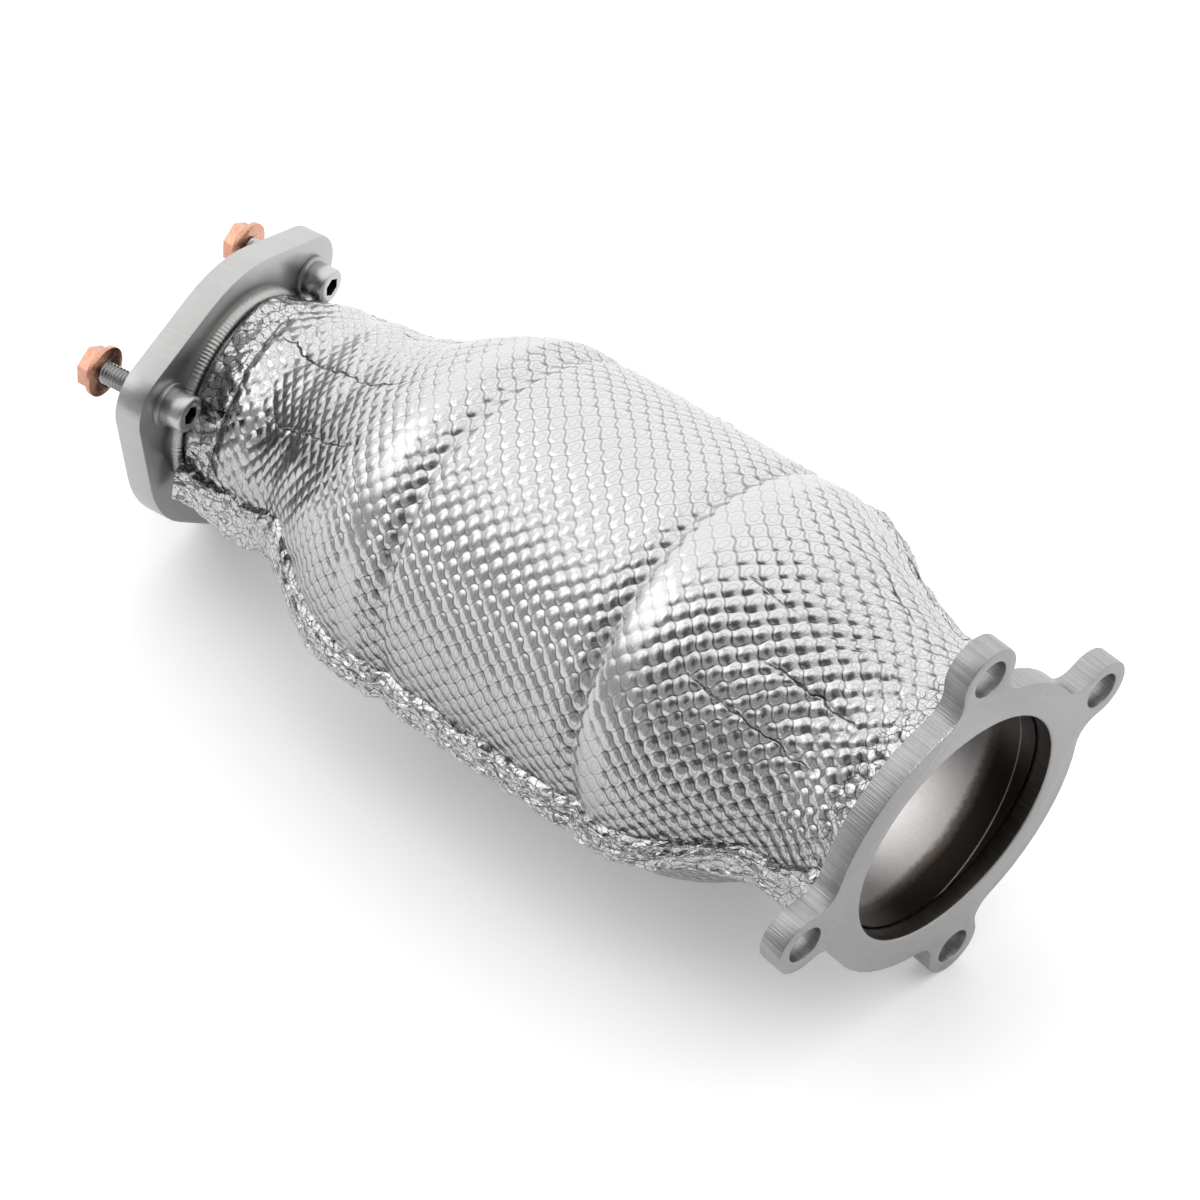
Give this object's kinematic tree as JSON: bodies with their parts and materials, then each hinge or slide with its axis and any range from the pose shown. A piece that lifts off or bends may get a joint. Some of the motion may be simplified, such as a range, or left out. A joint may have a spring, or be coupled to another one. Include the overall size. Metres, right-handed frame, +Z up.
{
  "type": "downpipe with catalytic converter",
  "caption": "Short exhaust downpipe with an insulated catalyst body under embossed foil, an eared inlet flange and a screwed outlet flange.",
  "frame": {"origin": "centre of the inlet bore on the sealing face", "axes": "+X along the catalyst body from the outlet to the inlet, +Z up as the part lies in the picture, -Y to the front seam"},
  "size_m": [0.3569, 0.1417, 0.1418],
  "materials": {
    "flange_steel": "satin, cut edges with fine milled lines across the plate",
    "weld_steel": "rippled weld bead, slightly tinted",
    "inner_steel": "bare sheet inside the inlet, dark brown and half bright",
    "tube_steel": "smooth stainless sheet",
    "catalyst_matrix": "dull coated honeycomb",
    "insulation_mat": "pressed mineral fibre",
    "shield_foil": "bright embossed foil with small round dimples",
    "screw_steel": "satin machined steel",
    "washer_steel": "satin steel",
    "copper_plate": "copper plated steel, soft shine"
  },
  "bodies": {
    "root": {"inlet_flange": "flange_steel", "inlet_weld": "weld_steel", "inlet_cone": "inner_steel", "inlet_cone_weld": "weld_steel", "body_tube": "tube_steel", "catalyst_core": "catalyst_matrix", "outlet_cone_weld": "weld_steel", "outlet_cone": "tube_steel", "outlet_tube_weld": "weld_steel", "outlet_tube": "tube_steel", "outlet_weld": "weld_steel", "outlet_flange": "flange_steel", "insulation_upper": "insulation_mat", "insulation_lower": "insulation_mat", "shield_upper": "shield_foil", "shield_lower": "shield_foil", "cap_screw_1": "screw_steel", "washer_1": "washer_steel", "nut_1": "copper_plate", "cap_screw_2": "screw_steel", "washer_2": "washer_steel", "nut_2": "copper_plate", "cap_screw_3": "screw_steel", "washer_3": "washer_steel", "nut_3": "copper_plate"}
  },
  "joints": []
}
